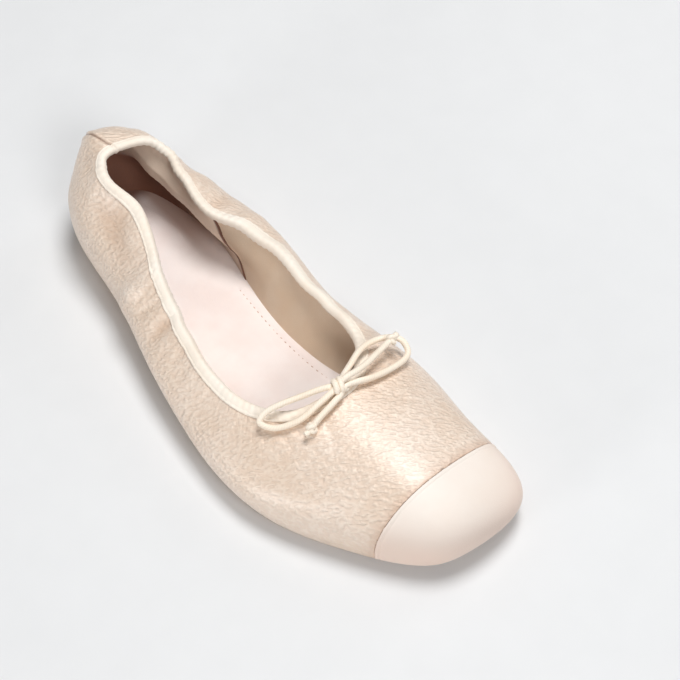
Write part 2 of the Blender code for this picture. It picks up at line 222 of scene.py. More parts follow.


# %% [markdown]
# ## Creases
# Soft leather shows where it is held: it hollows below the elastic, ridges where the wall turns, and pleats
# beside the tape. Noise would put creases anywhere, so each main one is listed, as a soft trough
# (a negative height) or ridge along a short path. Fine gathers are a wave along the collar that dies away
# down the wall. The sum is one relief that every layer of the shoe shares, so the lining and the tape
# follow the leather. At the outer heel the worn collar also leans in over the foot, so the skin there is
# drawn inwards, most at the collar and not at all at the foot line.

# %% Table of creases
FOLDS = [
    # turn and up at its start, middle and end; half width; height
    (1.90, 0.84, 2.55, 0.72, 3.10, 0.70, 6.5, -1.9),  # hollow below the collar, outer heel
    (1.20, 0.62, 1.70, 0.50, 2.30, 0.42, 7.0, 0.8),   # fullness below that hollow
    (0.12, 0.92, 0.10, 0.80, 0.08, 0.60, 3.4, 1.3),   # the back seam stands out
    (0.62, 0.88, 0.74, 0.76, 0.84, 0.66, 3.4, -0.9),  # pinch beside it
    (0.95, 0.54, 1.05, 0.42, 1.20, 0.28, 8.0, 1.0),   # and a bulge below
    (0.90, 0.86, 1.10, 0.80, 1.35, 0.80, 3.0, -0.5),
    (1.50, 0.97, 1.75, 0.86, 1.90, 0.74, 2.2, 0.5),
    (3.62, 0.97, 3.50, 0.74, 3.25, 0.38, 4.8, 2.3),   # ridge where the heel turns to the waist
    (3.97, 0.99, 3.88, 0.80, 3.72, 0.60, 1.4, -1.1),  # its sharp front edge
    (4.20, 0.96, 4.18, 0.78, 4.05, 0.55, 4.5, -1.0),  # hollow in front of it
    (3.36, 0.98, 3.30, 0.86, 3.22, 0.72, 0.9, -0.65), # small pleats below the tape
    (3.48, 0.98, 3.43, 0.86, 3.36, 0.70, 0.8, -0.6),
    (3.60, 0.98, 3.56, 0.84, 3.49, 0.66, 0.8, -0.7),
    (3.72, 0.98, 3.69, 0.84, 3.62, 0.66, 0.8, -0.6),
    (3.84, 0.98, 3.80, 0.86, 3.74, 0.72, 0.7, -0.5),
    (4.08, 0.98, 4.05, 0.84, 3.98, 0.66, 0.9, 0.6),
    (4.20, 0.98, 4.17, 0.84, 4.10, 0.62, 0.9, -0.65),
    (4.32, 0.98, 4.29, 0.84, 4.22, 0.62, 0.9, 0.5),
    (4.45, 0.98, 4.42, 0.84, 4.36, 0.64, 1.0, -0.6),
    (4.60, 0.98, 4.57, 0.84, 4.52, 0.66, 1.0, -0.55),
    (4.78, 0.98, 4.75, 0.84, 4.70, 0.68, 1.0, -0.5),
    (4.97, 0.98, 4.94, 0.84, 4.89, 0.70, 1.1, -0.45),
    (5.22, 0.98, 5.19, 0.86, 5.14, 0.72, 1.1, -0.45),
    (4.4, 0.30, 5.0, 0.40, 5.7, 0.36, 5.5, -0.6),     # slack along the outer waist
    (6.2, 0.97, 6.3, 0.86, 6.45, 0.74, 2.0, -0.35),   # drawn leather beside the bow
    (6.60, 0.97, 6.72, 0.86, 6.9, 0.76, 1.8, -0.5),
    (7.1, 0.97, 7.12, 0.88, 7.2, 0.80, 1.6, -0.4),
    (8.02, 0.97, 7.94, 0.89, 7.72, 0.82, 2.2, -0.35), # crease from the knot
    (9.9, 0.97, 10.1, 0.86, 10.4, 0.76, 1.8, -0.3),
    (6.0, 0.50, 6.8, 0.62, 7.8, 0.70, 4.5, -0.5),     # flex across the vamp
    (6.1, 0.34, 6.9, 0.42, 7.6, 0.46, 4.5, 0.4),
    (11.3, 0.62, 10.6, 0.70, 9.6, 0.70, 5.0, -0.35),
    (14.9, 0.98, 15.0, 0.80, 15.1, 0.60, 3.2, -1.0),  # inner waist
    (14.5, 0.98, 14.5, 0.80, 14.45, 0.60, 3.2, 0.8),
    (15.6, 0.98, 15.5, 0.78, 15.4, 0.55, 4.0, 0.9),
    (16.0, 0.60, 16.6, 0.55, 17.1, 0.62, 7.0, -1.0),  # hollow, inner heel
    (13.9, 0.98, 13.85, 0.82, 13.8, 0.68, 2.0, -0.4),
    (17.5, 0.93, 17.3, 0.84, 17.1, 0.70, 2.6, -0.4),  # beside the back seam
]
GATHER = ring_curve([0.08, 0.14, 0.18, 0.24, 0.30, 0.28, 0.18, 0.12, 0.07,
                     0.05, 0.07, 0.12, 0.14, 0.18, 0.26, 0.28, 0.24, 0.14])
SWAY = ring_curve([0.0, 0.3, 0.5, 0.6, 0.6, 0.35, 0.2, 0.1, 0.0,
                   0.0, 0.0, 0.1, 0.2, 0.4, 0.7, 0.7, 0.5, 0.3])
GATHER_PITCH, GATHER_REACH = 2.8, 6.5       # fine gathers: from one to the next, and down the wall
SWAY_PITCH, SWAY_REACH = 21.0, 12.0         # the broad waves that carry them
SEAM_HALF, SEAM_DEEP, SEAM_SHOULDER, SEAM_TO_SHOULDER = 0.5, 0.6, 0.25, 1.5
SEAM_LEAN = ([0, 0.4, 0.74, 0.88, 0.94, 1], [0, 0.05, 0.10, 0.06, 0, -0.10])     # up, turn
DRAWN_IN, DRAWN_AT, DRAWN_WIDE = 3.2, 2.67, 0.48        # the collar at the outer heel: how far, which turn
print("creases placed by hand:", len(FOLDS))


# %% Relief and skin
def fold_height(turn, up, t0, u0, t1, u1, t2, u2, half, height):
    """A trough or ridge along a short Bezier curve; a sine fades its two ends."""
    k = np.linspace(0, 1, 13)
    turns = t0 * (1 - k) ** 2 + 2 * t1 * k * (1 - k) + t2 * k ** 2
    ups = u0 * (1 - k) ** 2 + 2 * u1 * k * (1 - k) + u2 * k ** 2
    line = bare_wall(turns, ups)
    reach = 3 * half
    place = bare_wall(turn, up)
    near = np.all((place > line.min(0) - reach) & (place < line.max(0) + reach), axis=-1)
    result = np.zeros(place.shape[:-1])
    away = size_of(place[near][:, None] - line[None])
    fade = np.sin(math.pi * (0.12 + 0.76 * k[away.argmin(1)]))
    result[near] = height * fade * np.exp(-(away.min(1) / half) ** 2)
    return result


def beside_seam(turn, up):
    """Distance from the back seam, which leans a little to the outer side below the collar."""
    on_seam = bare_wall(np.interp(up, *SEAM_LEAN), up)
    return size_of(bare_wall(turn, up) - on_seam)


def relief(turn, up):
    """How far the leather stands off the last: listed folds, gathers at the collar, the back seam.

    The drift keeps the gathers from being evenly spaced.
    """
    turn, up = np.broadcast_arrays(turn, up)
    total = sum(fold_height(turn, up, *fold) for fold in FOLDS)
    run, below = run_at(turn % COUNT), (1 - up) * crown_reach(turn)
    drift = 1.3 * np.sin(run / 17.0) + 0.9 * np.sin(run / 7.3 + 1.0)
    for height, pitch, fade in ((GATHER(turn), GATHER_PITCH, np.exp(-below / GATHER_REACH)),
                                (SWAY(turn), SWAY_PITCH, np.exp(-(below / SWAY_REACH) ** 2))):
        total = total + height * np.cos(2 * math.pi * run / pitch + drift) * fade
    beside = beside_seam(turn, up)
    groove = SEAM_DEEP * np.exp(-(beside / SEAM_HALF) ** 2)
    return total - groove + SEAM_SHOULDER * np.exp(-((beside - SEAM_TO_SHOULDER) / 0.7) ** 2)


def skin(turn, up, depth=0.0):
    """The leather's surface, or a layer this deep inside it; a negative depth stands outside."""
    normal = wall_frame(turn, up)[0]
    pulled = DRAWN_IN * np.exp(-((turn % COUNT - DRAWN_AT) / DRAWN_WIDE) ** 2)
    drawn = outward(turn) * (pulled * up ** 3)[..., None]
    return bare_wall(turn, up) - drawn + normal * (relief(turn, up) - depth)[..., None]


print("relief beside the knot, mm:", relief(np.array([6.6, 8.0, 9.9]), 0.95).round(2))


# %% [markdown]
# ## One grid for every sheet
# Leather, tape, lining and cord are all thin sheets or tubes, and each could be lofted by hand. A shorter
# way is one helper: Blender makes a flat grid, and its corners are laid on a lattice of places round the
# last. Edges that land on each other are welded, so a grid bent round both ways becomes a closed ring.
# The helper also writes a UV map in metres along the sheet, for finishes that must follow it.

# %% Sheets from a lattice
def run_along(places, axis):
    """The mean length from the first line of a lattice to each other one."""
    steps = size_of(np.diff(places, axis=axis)).mean(axis=1 - axis)
    return np.concatenate([[0], np.cumsum(steps)]) * MM


def sheet_of(places, **marks):
    """A grid laid on a lattice of places in millimetres; marks are numbers kept on its points."""
    mesh = bmesh.new()
    across, along = places.shape[0] - 1, places.shape[1] - 1
    bmesh.ops.create_grid(mesh, x_segments=across, y_segments=along, size=0.5)
    flat = np.array([point.co[:2] for point in mesh.verts])
    i, j = np.rint((flat + 0.5) * (across, along)).astype(int).T
    layers = {name: mesh.verts.layers.float.new(name) for name in marks}
    for point, place in zip(mesh.verts, places[i, j] * MM):
        point.co = place
    for name, layer in layers.items():
        for point, value in zip(mesh.verts, np.broadcast_to(marks[name], places.shape[:2])[i, j]):
            point[layer] = value
    mesh.verts.index_update()
    uvs = np.stack([run_along(places, 0)[i], run_along(places, 1)[j]], -1)
    map_layer = mesh.loops.layers.uv.new("UVMap")
    for face in mesh.faces:
        for corner in face.loops:
            corner[map_layer].uv = uvs[corner.vert.index]
    bmesh.ops.remove_doubles(mesh, verts=mesh.verts, dist=0.01 * MM)
    return mesh


def wrapped(*layers):
    """Join lattices one after the other along the sheet and return to the first line: a closed wall."""
    whole = np.concatenate(layers, axis=1)
    return np.concatenate([whole, whole[:, :1]], axis=1)


# %% Finishing a piece
def close_holes(mesh):
    rims = [edge for edge in mesh.edges if edge.is_boundary]
    if rims:
        bmesh.ops.holes_fill(mesh, edges=rims, sides=0)


def new_object(mesh, name):
    data = bpy.data.meshes.new(name)
    mesh.to_mesh(data)
    mesh.free()
    made = bpy.data.objects.new(name, data)
    bpy.context.scene.collection.objects.link(made)
    print(f"{name}: {len(data.polygons)} faces")
    return made


def finish(mesh, name, slot, *stands_for):
    """Face outwards, shade smooth, and ride on the shoe."""
    bmesh.ops.recalc_face_normals(mesh, faces=mesh.faces)
    made = new_object(mesh, name)
    made.data.shade_smooth()
    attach(made, "root")
    if stands_for:
        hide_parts(*stands_for)
    return made


# %% [markdown]
# ## The bow's cord
# The bow is two lengths of limp 2.5 mm cord. Each comes out of the tape under the knot, makes its loop, goes
# back through the knot and ends in a tail with a small knot. Curve objects would do, but a tube swept along
# the route gives a UV map for the twist of the strands. The frame of the tube is carried along without
# turning, so the twist doesn't jump.

# %% Cord routes
CORD = 2.5
LOOP_OUT = [(1.6, 124.9, 41.6), (4.1, 123.8, 43.1), (8.0, 121.6, 42.3), (13.6, 119.1, 41.0),
            (21.4, 115.6, 39.2), (27.2, 113.4, 36.8), (31.0, 114.3, 34.6), (28.4, 119.4, 34.0),
            (22.8, 123.6, 36.2), (17.4, 125.6, 38.7), (10.8, 125.9, 41.0), (4.8, 126.2, 42.8)]
END_IN = [(0.9, 126.0, 44.4), (-2.9, 125.9, 45.3), (-8.6, 126.1, 44.5), (-14.0, 125.4, 43.0),
          (-21.0, 123.9, 41.3), (-27.6, 122.6, 40.1)]
LOOP_IN = [(0.2, 125.2, 41.5), (-2.3, 124.1, 43.2), (-8.6, 121.6, 42.6), (-16.2, 118.4, 41.0),
           (-22.8, 117.4, 39.0), (-29.7, 118.7, 37.0), (-34.3, 122.4, 35.4), (-33.6, 127.6, 34.6),
           (-29.9, 130.1, 34.8), (-22.2, 130.9, 37.0), (-13.1, 130.4, 39.8), (-2.7, 127.6, 42.4)]
END_OUT = [(0.4, 127.9, 42.6), (3.3, 129.1, 42.3), (7.0, 129.6, 41.6), (10.5, 129.9, 40.7),
           (14.0, 130.1, 39.7), (17.0, 130.5, 38.8)]
END_KNOT, END_KNOT_CORD, STUB = 4.4, 2.0, 1.4
print("points on the routes:", len(LOOP_OUT + END_IN), "and", len(LOOP_IN + END_OUT))


# %% Tubes along a route
def through(points, step=0.5):
    """A smooth line through the points, with a new point about every step."""
    points = np.array(points, float)
    padded = np.concatenate([2 * points[:1] - points[1:2], points, 2 * points[-1:] - points[-2:-1]])
    line = []
    for before, start, end, after in zip(padded, padded[1:], padded[2:], padded[3:]):
        count = max(2, round(float(size_of(end - start)) / step))
        part = (np.arange(count) / count)[:, None]
        line.append(0.5 * (2 * start + (end - before) * part
                           + (2 * before - 5 * start + 4 * end - after) * part ** 2
                           + (3 * start - before - 3 * end + after) * part ** 3))
    return np.concatenate(line + [points[-1:]])


def tube(line, radius, sides=14, ring=False):
    """A closed tube round a line, or round a ring that ends where it starts."""
    ahead = np.gradient(line, axis=0)
    if ring:
        ahead[0] = ahead[-1] = line[1] - line[-2]
    ahead = unit(ahead)
    side = [np.cross(ahead[0], UP + 0.01)]
    for way in ahead:
        side.append(unit(side[-1] - way * (side[-1] @ way)))
    side = np.array(side[1:])
    if ring:
        drift = math.atan2(np.cross(side[0], side[-1]) @ ahead[0], side[0] @ side[-1])
        turn = -drift * np.arange(len(line))[:, None] / (len(line) - 1)
        side = side * np.cos(turn) + np.cross(ahead, side) * np.sin(turn)
    other = np.cross(ahead, side)
    angle = np.linspace(0, 2 * math.pi, sides + 1)[:, None, None]
    mesh = sheet_of(line + radius * (side * np.cos(angle) + other * np.sin(angle)))
    close_holes(mesh)
    return mesh


def ring_knot(centre, along, size, thick):
    """A small overhand knot: a trefoil ring pulled tight, lying across the cord."""
    t = np.linspace(0, 2 * math.pi, 73)
    curl = np.stack([np.sin(t) + 2 * np.sin(2 * t), np.cos(t) - 2 * np.cos(2 * t), -1.5 * np.sin(3 * t)], -1)
    across = unit(np.cross(along, UP))
    turned = np.stack([across, np.cross(along, across), along], -1)
    return tube(centre + curl * size / 8 @ turned.T, thick / 2, sides=10, ring=True)


# %% Cords of the bow
def bow_cord(name, loop, tail, stands_for):
    """One cord from under the knot, round its loop and out as a tail with a knot."""
    line = through(loop + tail)
    ahead = unit(line[-1] - line[-2])
    knot_centre = line[-1] + ahead * END_KNOT * 0.5
    line = np.concatenate([line, line[-1] + ahead * np.linspace(0.5, END_KNOT + STUB, 10)[:, None]])
    long = size_of(np.diff(line, axis=0)).sum()
    cord = finish(tube(line, CORD / 2), name, "cream_cord", *stands_for)
    knot = ring_knot(knot_centre, ahead, END_KNOT, END_KNOT_CORD)
    end = finish(knot, name + "_end_knot", "cream_cord")
    print(f"{name}: {long:.0f} mm of cord")
    return cord, end, line, long


cord_out, end_in, line_out, long_out = bow_cord(
    "bow_cord_out", LOOP_OUT, END_IN, ["bow_loop_out", "bow_end_in"])
cord_in, end_out, line_in, long_in = bow_cord(
    "bow_cord_in", LOOP_IN, END_OUT, ["bow_loop_in", "bow_end_out"])

# %% [markdown]
# The knot itself is a short length of the same cord, wrapped round the crossing nearly twice and tucked
# under at both ends. It is a helix, drawn round the line that joins the loops.

# %% Bow knot
KNOT_CENTRE, KNOT_AXIS = np.array([0.9, 126.0, 43.3]), np.array([0.97, -0.22, -0.05])
KNOT_TURNS, KNOT_START = 1.9, -0.35 * math.pi
KNOT_HIGH, KNOT_WIDE, KNOT_STEP, KNOT_CORD = 2.3, 2.5, 2.2, 2.3
share = np.linspace(-0.5, 0.5, 90)
angle = 2 * math.pi * KNOT_TURNS * (share + 0.5) + KNOT_START
flat = unit(np.cross(KNOT_AXIS, UP))
wrap = (KNOT_CENTRE + np.outer(share * KNOT_TURNS * KNOT_STEP, KNOT_AXIS)
        + np.outer(np.sin(angle) * KNOT_WIDE, flat) - np.outer(np.cos(angle) * KNOT_HIGH, UP))
knot = finish(tube(wrap, KNOT_CORD / 2), "bow_knot_wrap", "cream_cord", "bow_knot")

# %% [markdown]
# ## Vamp and quarters
# One skin of leather goes all round the shoe. It is a closed wall: up the outside, over at the collar, down
# the inside, and turned in under the foot. The turn steps crowd together at the back seam, so the seam
# keeps its narrow groove. At the toe the skin stops at a seam that lies square across the shoe: extra edge
# loops are cut side by side with the seam, and the last ones are drawn down to make a rounded edge. The
# points keep four marks: the face says which ones to round, and the finish reads where the leather is
# gathered, how hollow it is and where the back seam runs.

# %% Walls of leather
SEAM_Y = 175.5
LEATHER, LASTING, LEDGE = 1.0, 8.0, 0.9     # thickness, width turned in, height of its upper side


def rising(top, count):
    """Steps of up from the foot line to top, the first ones close together."""
    return np.concatenate([[0.006, 0.016], np.linspace(0.03, top, count)])[None]


def turned_in(turns, *steps):
    """The edge turned in under the foot: each step says how far inside the foot line and how far above."""
    return [foot_line(turns, inset, above) for inset, above in steps]


def outside_only(places, mark):
    """A mark that is kept on the first lines of a lattice, the outside of a wall, and is 0 on the rest."""
    kept = np.zeros(places.shape[:2])
    kept[:, :mark.shape[1]] = mark
    return kept


def cut_across(mesh, y, clear_front=False, clear_back=False):
    """Cut a mesh by an upright plane across the shoe, and drop one side if asked."""
    everything = mesh.verts[:] + mesh.edges[:] + mesh.faces[:]
    return bmesh.ops.bisect_plane(mesh, geom=everything, plane_co=(0, y * MM, 0), plane_no=(0, 1, 0),
                                  clear_outer=clear_front, clear_inner=clear_back)


def fill_cut(mesh, cut):
    rim = [piece for piece in cut["geom_cut"] if isinstance(piece, bmesh.types.BMEdge)]
    bmesh.ops.triangle_fill(mesh, edges=rim, use_beauty=True)


def rounded(distance, reach, drop):
    """How far a rounded edge has dropped at this distance from it."""
    part = np.clip(1 - distance / reach, 0, 1)
    return drop * (1 - math.sqrt(1 - part * part))


# %% Vamp and quarters
SEAM_STEPS = np.array([0, 0.02, 0.04, 0.06, 0.085, 0.115, 0.15, 0.19])
turns = np.concatenate([SEAM_STEPS, np.linspace(0.23, COUNT - 0.23, 428), COUNT - SEAM_STEPS[::-1]])[:, None]
ups = rising(1, 68)
places = wrapped(skin(turns, ups), skin(turns, np.linspace(1, 0.04, 26)[None], LEATHER),
                 *turned_in(turns, (LEDGE, LEDGE), (LASTING, LEDGE), (LASTING, 0), (3.0, 0), (0.5, 0)))
GATHER_SHOWN, SEAM_SHOWN, EDGE_ROUND, EDGE_DROP = 13.0, 0.42, 0.8, 0.24
fade = np.exp(-((1 - ups) * crown_reach(turns) / GATHER_SHOWN) ** 2)
gathered = fade * np.clip(GATHER(turns) / 0.22, 0, 1)
seam = np.exp(-(beside_seam(turns, ups) / SEAM_SHOWN) ** 2)
mesh = sheet_of(places, face=outside_only(places, np.ones_like(seam)), gather=outside_only(places, gathered),
                hollow=outside_only(places, -relief(turns, ups)), seam=outside_only(places, seam))
for back_by in (2.6, 2.0, 1.5, 1.1, 0.8, 0.55, 0.35, 0.2):
    cut_across(mesh, SEAM_Y - back_by)
rim = cut_across(mesh, SEAM_Y, clear_front=True)
mesh.normal_update()
face_layer = mesh.verts.layers.float["face"]
for point in mesh.verts:
    gap = SEAM_Y - point.co.y / MM
    if gap < EDGE_ROUND and point[face_layer] > 0.5:
        point.co -= point.normal * rounded(gap, EDGE_ROUND, EDGE_DROP) * MM
fill_cut(mesh, rim)
upper = finish(mesh, "vamp_and_quarters", "champagne_leather", "upper")

# %% [markdown]
# ## Toe cap
# The cap is smooth leather, pulled over the toe and turned under. Its back edge is folded: a narrow raised
# band follows the seam, with a shallow line of pressed leather in front of it. The same side-by-side cuts
# give the loops for the fold, and a profile says how high each loop stands.

# %% Toe cap
CAP_PROUD, CAP_DEEP, CAP_TURNED, CAP_GAP, CAP_FOLD = 0.15, 0.9, 3.5, 0.04, 4.0
cap_turns, cap_ups = np.arange(6.5, 11.71, 0.02)[:, None], rising(0.82, 78)
places = wrapped(skin(cap_turns, cap_ups, -CAP_PROUD), skin(cap_turns, cap_ups[:, ::-3], CAP_DEEP),
                 *turned_in(cap_turns, (LEDGE, LEDGE), (CAP_TURNED, LEDGE), (CAP_TURNED, 0), (0.4, 0)))
mesh = sheet_of(places, face=outside_only(places, np.ones_like(cap_ups)))


def fold_profile(distance):
    """The height of the cap's folded edge by distance from the seam: a raised band, a pressed line."""
    band = 0.13 * np.exp(-((distance - 0.9) / 0.6) ** 4)
    pressed = -0.14 * np.exp(-((distance - 1.9) / 0.4) ** 2)
    return band + pressed - rounded(distance, 0.5, 0.26)


close_holes(mesh)
rim = cut_across(mesh, SEAM_Y + CAP_GAP, clear_back=True)
fill_cut(mesh, rim)
for ahead_by in (0.3, 0.45, 0.65, 0.9, 1.2, 1.5, 1.75, 1.95, 2.15, 2.35, 2.6, 2.9, 3.3, 3.8):
    cut_across(mesh, SEAM_Y + CAP_GAP + ahead_by)
mesh.normal_update()
face_layer = mesh.verts.layers.float["face"]
for point in mesh.verts:
    gap = point.co.y / MM - SEAM_Y - CAP_GAP
    if gap < CAP_FOLD and point[face_layer] > 0.5:
        point.co += point.normal * fold_profile(gap) * MM
cap = finish(mesh, "toe_cap_leather", "nude_leather", "toe_cap")

# %% [markdown]
# ## Collar tape
# A soft tape is folded over the collar and stitched through, with elastic inside. Its section is a closed
# outline of thirty points: each says how far down the wall it lies as a share of the tape's reach, how far
# off the leather, and how far above the collar. Small wrinkles cross the tape where the elastic pulls. Its
# inner half is fuller along the outer side and the toe, and round the heel it is painted tan as shade.

# %% Collar tape
WALL = 1.6
SECTION = [
    # down the wall (share), off the outside, above the collar; the second half is the inner side
    (1.00, 0.08, 0), (1.03, 0.32, 0), (0.98, 0.62, 0), (0.88, 0.80, 0), (0.79, 0.78, 0), (0.71, 0.62, 0),
    (0.63, 0.78, 0), (0.48, 0.94, 0), (0.25, 0.98, 0), (0.08, 0.92, 0), (0, 0.78, 0.40), (0, 0.35, 0.90),
    (0, -0.35, 1.15), (0, -WALL / 2, 1.20), (0, 0.35 - WALL, 1.15),
    (0, -WALL - 0.35, 0.90), (0, -WALL - 0.78, 0.40), (0.08, -WALL - 0.92, 0), (0.25, -WALL - 0.98, 0),
    (0.50, -WALL - 0.95, 0), (0.75, -WALL - 0.85, 0), (0.95, -WALL - 0.65, 0), (1.0, -WALL - 0.35, 0),
    (0.95, -WALL - 0.12, 0), (0.5, -WALL - 0.1, 0), (0.04, -WALL - 0.1, 0), (0, -WALL, 0.25),
    (0, 0.05, 0.25), (0.04, 0.05, 0), (0.5, 0.05, 0),
]
BINDING_DEEP = ring_curve([2.6, 2.9, 3.1, 3.5, 3.9, 3.9, 3.9, 3.9, 3.9,
                           3.9, 3.9, 3.9, 3.9, 4.0, 4.8, 2.8, 2.4, 2.4])
INWARD = ring_curve([0.2, 0.5, 0.9, 1.5, 2.2, 2.3, 2.3, 2.2, 1.6,
                     1.2, 1.2, 0.9, 0.7, 0.6, 1.2, 0.5, 0.3, 0.2])
# where the tape's inner half gets painted shade: round the heel
INNER_HALF_SHADE = ring_curve([1, 0.5, 0, 0, 0, 0, 0, 0, 0, 0, 0, 0, 0, 0.3, 0.3, 0.3, 0.6, 1])
WRINKLE, WRINKLE_PITCH, CROSS_PITCH = 0.18, 3.3, 5.1
tape_turns = np.linspace(0, COUNT, 577)
tape_run = run_at(tape_turns)
wrinkle = (np.sin(2 * math.pi * tape_run / WRINKLE_PITCH + 2.6 * np.sin(tape_run / 5.3))
           + 0.8 * np.sin(2 * math.pi * tape_run / CROSS_PITCH + 2.2 * np.sin(tape_run / 9.7 + 1)))
wrinkle = wrinkle * GATHER(tape_turns) * WRINKLE * (0.6 + 0.4 * np.sin(tape_run / 11.0 + 2))
lines = []
for down, off, above in SECTION:
    up_here = below_collar(tape_turns, down * BINDING_DEEP(tape_turns))
    swell = 1 + wrinkle * (off > 0.7 or off < -WALL - 0.7 or above > 0.8)
    swell = swell + INWARD(tape_turns) * (off < -WALL - 0.3)
    base = min(max(off, -WALL), 0)
    normal, climb = wall_frame(tape_turns, up_here)
    place = skin(tape_turns, up_here, -base) + normal * ((off - base) * swell)[:, None]
    lines.append(place + climb * (above * (1 + wrinkle))[:, None])
places = np.stack(lines, axis=1)
# the tape's inner half, marked for painted shade
shaded_inner_half = np.array([1.0 * (off < -WALL - 0.5 and down > 0.05) for down, off, above in SECTION])
shaded_inner_half = shaded_inner_half * np.clip(INNER_HALF_SHADE(tape_turns), 0, 1)[:, None]
mesh = sheet_of(wrapped(places), tan=wrapped(shaded_inner_half))
tape = finish(mesh, "collar_tape", "cream_binding", "collar_binding")


# %% [markdown]
# ## Sock and linings
# Inside, a blush leather sock lies on the insole. It is a slab: a rim round both sides, with a face above
# and a face below filled across from side to side. It is narrow at the waist, so the linings come in over
# the insole to meet its edge. The vamp lining is woven cloth and the heel lining is brown leather, laid
# over the cloth's edge. Each lining starts under the sock, rises to the tape, and is shaped by three
# tables: how far the sock's edge is inside the foot line, how closely the lining hugs the wall, and how
# much of it has bagged below the tape. The joins lean as they rise, the inner one towards the heel. The
# heel lining's dark brown is partly its own colour and partly painted shade; it also marks where painted
# light makes it pale: on the roll that bags below the inner collar, and ahead of it, but not along its
# front edge, which stays dark as a painted shade line at the join.

# %% Sock
SOCK_IN = ring_curve([2.5, 3, 3, 4, 6, 7, 6, 5, 4, 4, 4.5, 6, 9.5, 13.4, 9.6, 1.6, 1.0, 1.8])
SOCK_LOW, SOCK_TOP = 1.95, 3.4
SOCK_EDGE = [(0.45, SOCK_TOP), (0.15, SOCK_TOP - 0.12), (0, SOCK_TOP - 0.4), (0, SOCK_LOW + 0.2),
             (0.3, SOCK_LOW)]       # how far in from the rim, how high
STITCH_IN = ring_curve([7, 7, 7, 8, 9, 10, 9, 9, 9, 9, 10, 13, 17, 18.2, 15, 11.5, 10, 8])
half_turns = np.linspace(0, COUNT / 2, 331)
sewn_turns = np.linspace(3.8, 14.35, 421)
stitch_line = foot_line(sewn_turns, STITCH_IN(sewn_turns), SOCK_TOP)


def slab(rim, columns, top, bottom):
    """A slab across the shoe. rim gives its edge from top to bottom, top and bottom the faces' heights."""
    outer, inner = rim(half_turns), rim(COUNT - half_turns)
    across = np.linspace(0, 1, columns + 2)[None, 1:-1, None]
    face = outer[:, :1] * (1 - across) + inner[:, :1] * across
    face[..., 2] = top(face)
    under = inner[:, -1:] * (1 - across) + outer[:, -1:] * across
    under[..., 2] = bottom(under)
    return sheet_of(wrapped(face, inner, under, outer[:, ::-1]))


def sock_rim(turns):
    return np.stack([foot_line(turns, SOCK_IN(turns) + inset, high) for inset, high in SOCK_EDGE], 1)


def sock_top(face):
    """The height of the sock's upper face: level, and pressed in along the stitches."""
    flat = face.reshape(-1, 3)
    gap = size_of(flat[:, None, :2] - stitch_line[None, ::3, :2]).min(axis=1)
    groove = -0.35 * np.exp(-(gap / 0.9) ** 2)
    return sole_level(face[..., 1], SOLE_TOP) + SOCK_TOP + groove.reshape(face.shape[:2])


mesh = slab(sock_rim, 110, sock_top, lambda face: sole_level(face[..., 1], SOLE_TOP) + SOCK_LOW)
sock = finish(mesh, "sock", "blush_insole", "insole")

# %% Linings
HUG = ring_curve([0.95, 0.95, 0.9, 0.7, 0.5, 0.45, 0.8, 1, 1, 1, 1, 1, 0.75, 0.3, 0.05, 0.15, 0.5, 0.85])
BAG = ring_curve([1.4, 0.6, 0, 0, 0, 0, 0, 0, 0, 0, 0, 0, 0, 0, 0.2, 4.5, 8.0, 7.2])
BAG_PROFILE = [(0, 0), (0.26, 0), (0.36, 0.25), (0.46, 0.8), (0.56, 1), (0.68, 0.86), (0.82, 0.38),
               (0.93, 0.08), (1, 0)]
LINING, OVERLAP, ROLL_MIDDLE = 0.45, 0.3, 15.9
UNDER_SOCK, START_HIGH = 2.5, 1.6           # how far a lining reaches under the sock, and how high it lies
TOE_EASE, TOE_EASE_FROM, TOE_EASE_OVER = 0.8, 163, 10       # clear of the cap's edge, further in at the toe
LEAN, LEAN_FROM = 0.45, 0.45        # rows forward for a whole rise, and the rise where there is none


def lining(turns, rise, lift):
    """A lining's inner face, this far off the wall; rise runs from 0 under the sock to 1 at the tape."""
    turns, rise = np.broadcast_arrays(turns, rise)
    ease = TOE_EASE * np.clip((bare_wall(turns, rise)[..., 1] - TOE_EASE_FROM) / TOE_EASE_OVER, 0, 1)
    hugging = skin(turns, rise, WALL + lift + ease)
    start = foot_line(turns, SOCK_IN(turns) + UNDER_SOCK + lift, START_HIGH + lift)
    hug = HUG(turns)[..., None]
    part = rise[..., None]
    hugged = hugging + (start - skin(turns, 0 * rise, WALL + lift)) * (1 - part) ** 3
    straight = start + (skin(turns, 0 * rise + 1, WALL + lift) - start) * part
    bag = BAG(turns) * np.interp(rise, *zip(*BAG_PROFILE))
    return hugged * hug + straight * (1 - hug) - outward(turns) * bag[..., None]


def make_lining(name, start, end, lift, slot):
    turns = np.linspace(start, end, round((end - start) * 22) + 1)[:, None]
    rise = np.linspace(0, 1, 61)[None]
    front, behind = (lining(turns + LEAN * (steps - LEAN_FROM), steps, lift - thick)
                     for steps, thick in ((rise, 0), (rise[:, ::-3], LINING)))
    places = wrapped(front, behind)
    past = turns - ROLL_MIDDLE
    # painted light: the roll is pale where light falls on its top, fading towards the back
    on_roll = np.interp(past, [0.3, 1.0, 1.8], [1, 0.7, 0]) * np.interp(rise, [0.36, 0.48], [0, 1])
    # painted light ahead of the roll
    ahead_of_it = np.interp(past, [-1.4, -0.6, 0.2], [0.75, 0.5, 0])
    # the front edge keeps the dark brown: a painted shade line at the join
    shaded_join_edge = turns <= start + 0.055
    pale = np.maximum(on_roll, ahead_of_it) * ~shaded_join_edge
    mesh = sheet_of(places, pale=outside_only(places, pale))
    close_holes(mesh)
    return finish(mesh, name, slot)


vamp_lining = make_lining("vamp_lining", 3.4, 14.8, 0.0, "blush_insole")
heel_lining = make_lining("heel_lining", 14.55, 21.55, OVERLAP, "blush_insole")


# %% [markdown]
# ## Stitches
# A stitch is a tiny closed bead, so a row of them is one bead copied along a line. Each copy is a small
# sphere with few faces, squeezed long and flat, then turned to follow the line and set into the surface.

